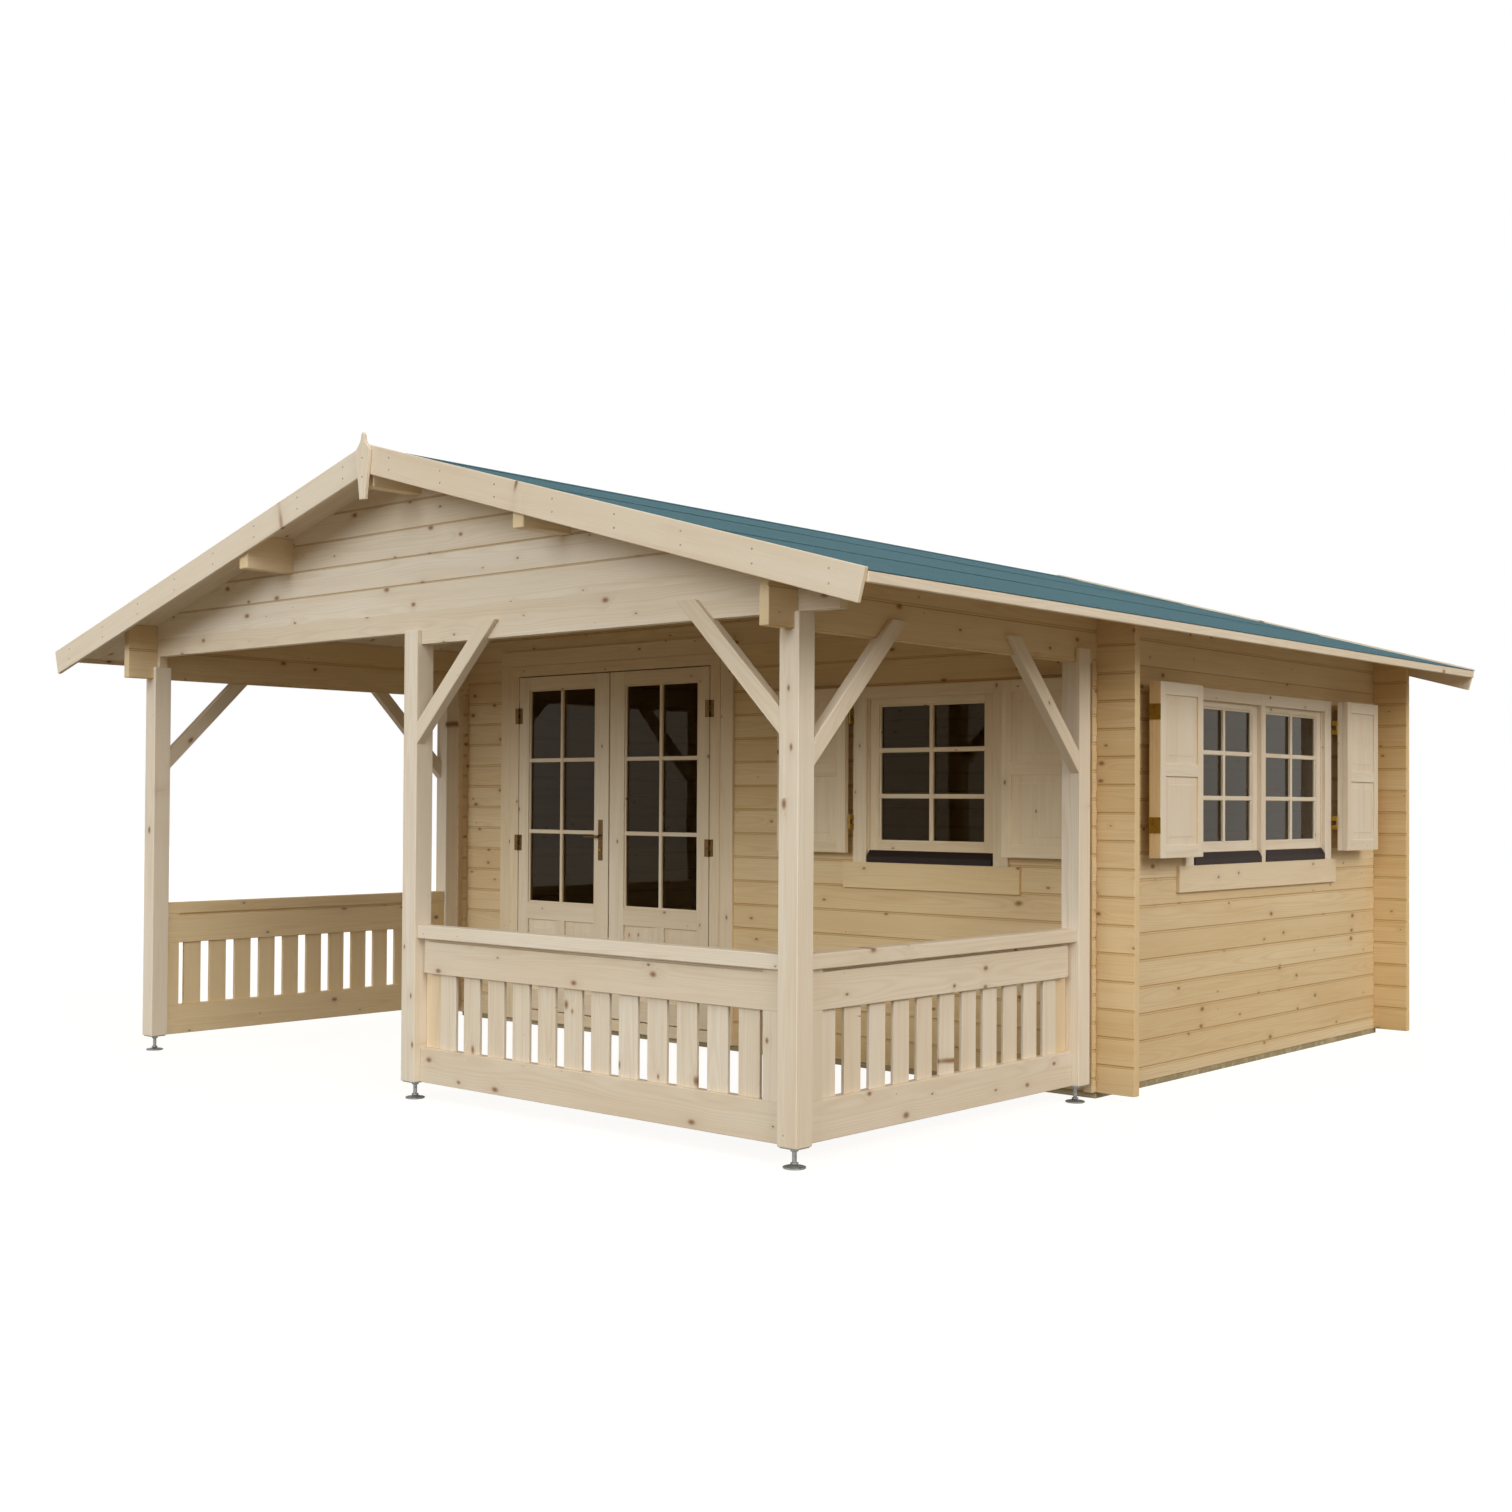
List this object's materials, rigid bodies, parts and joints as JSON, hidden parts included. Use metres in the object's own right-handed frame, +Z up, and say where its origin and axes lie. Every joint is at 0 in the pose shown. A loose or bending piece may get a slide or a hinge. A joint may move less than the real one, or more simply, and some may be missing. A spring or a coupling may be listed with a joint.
{
  "type": "log cabin",
  "caption": "Timber log cabin with a gabled felt roof that runs on over a railed front porch on posts, a glazed door in two leaves and shuttered windows.",
  "frame": {"origin": "on the ground, under the middle of the whole plan", "axes": "+X across the front, to the right as seen from the front; +Y from the porch to the back wall; +Z up"},
  "size_m": [5.31, 5.578, 2.8388],
  "materials": {
    "spruce_logs": "planed, untreated",
    "spruce_boards": "planed, untreated",
    "spruce_joinery": "planed, untreated",
    "treated_battens": "sawn, pressure treated",
    "roofing_felt": "mineral, matt",
    "clear_glass": "clear",
    "brass_fittings": "satin",
    "zinc_steel": "galvanised",
    "dark_sill": "satin, dark brown"
  },
  "bodies": {
    "cabin": {"foundation_bearers": "treated_battens", "cabin_floor": "spruce_boards", "front_wall_left": "spruce_logs", "front_wall_over_door": "spruce_logs", "front_wall_right": "spruce_logs", "right_wall": "spruce_logs", "left_wall": "spruce_logs", "back_wall": "spruce_logs", "cabin_front_gable": "spruce_logs", "cabin_back_gable": "spruce_logs", "porch_gable": "spruce_logs", "plate_logs": "spruce_logs", "roof_purlins": "spruce_boards", "porch_posts": "spruce_boards", "post_feet": "zinc_steel", "post_braces": "spruce_boards", "front_railing": "spruce_boards", "right_railing": "spruce_boards", "left_railing": "spruce_boards", "roof_boards": "spruce_boards", "roof_felt": "roofing_felt", "eave_boards": "spruce_boards", "front_gable_boards": "spruce_boards", "back_gable_boards": "spruce_boards", "gable_finials": "spruce_boards", "door_frame": "spruce_joinery", "door_casing": "spruce_joinery", "door_frame_hinges": "brass_fittings", "front_window_frame": "spruce_joinery", "side_window_frame": "spruce_joinery", "front_window_sash": "spruce_joinery", "side_window_sashes": "spruce_joinery", "window_glass": "clear_glass", "window_casings": "spruce_joinery", "window_aprons": "spruce_joinery", "window_sills": "dark_sill", "front_shutter_right": "spruce_joinery", "side_shutter_front": "spruce_joinery", "side_shutter_back": "spruce_joinery", "fixed_shutter_hinges": "brass_fittings"},
    "door_left": {"door_leaf_left": "spruce_joinery", "door_glass_left": "clear_glass", "door_handle": "brass_fittings", "door_hinges_left": "brass_fittings"},
    "door_right": {"door_leaf_right": "spruce_joinery", "door_glass_right": "clear_glass", "door_hinges_right": "brass_fittings"},
    "shutter_left": {"front_shutter_left": "spruce_joinery", "shutter_hinges_left": "brass_fittings"}
  },
  "joints": [
    {"name": "door_left_hinge", "type": "hinge", "parent": "cabin", "child": "door_left", "pos_m": [-1.6285, -0.475, 1.046], "axis": [0, 0, -1], "range_deg": [0, 110]},
    {"name": "door_right_hinge", "type": "hinge", "parent": "cabin", "child": "door_right", "pos_m": [-0.1315, -0.475, 1.046], "axis": [0, 0, 1], "range_deg": [0, 110]},
    {"name": "shutter_left_hinge", "type": "hinge", "parent": "cabin", "child": "shutter_left", "pos_m": [0.8205, -0.497, 1.444], "axis": [0, 0, 1], "range_deg": [0, 180]}
  ]
}
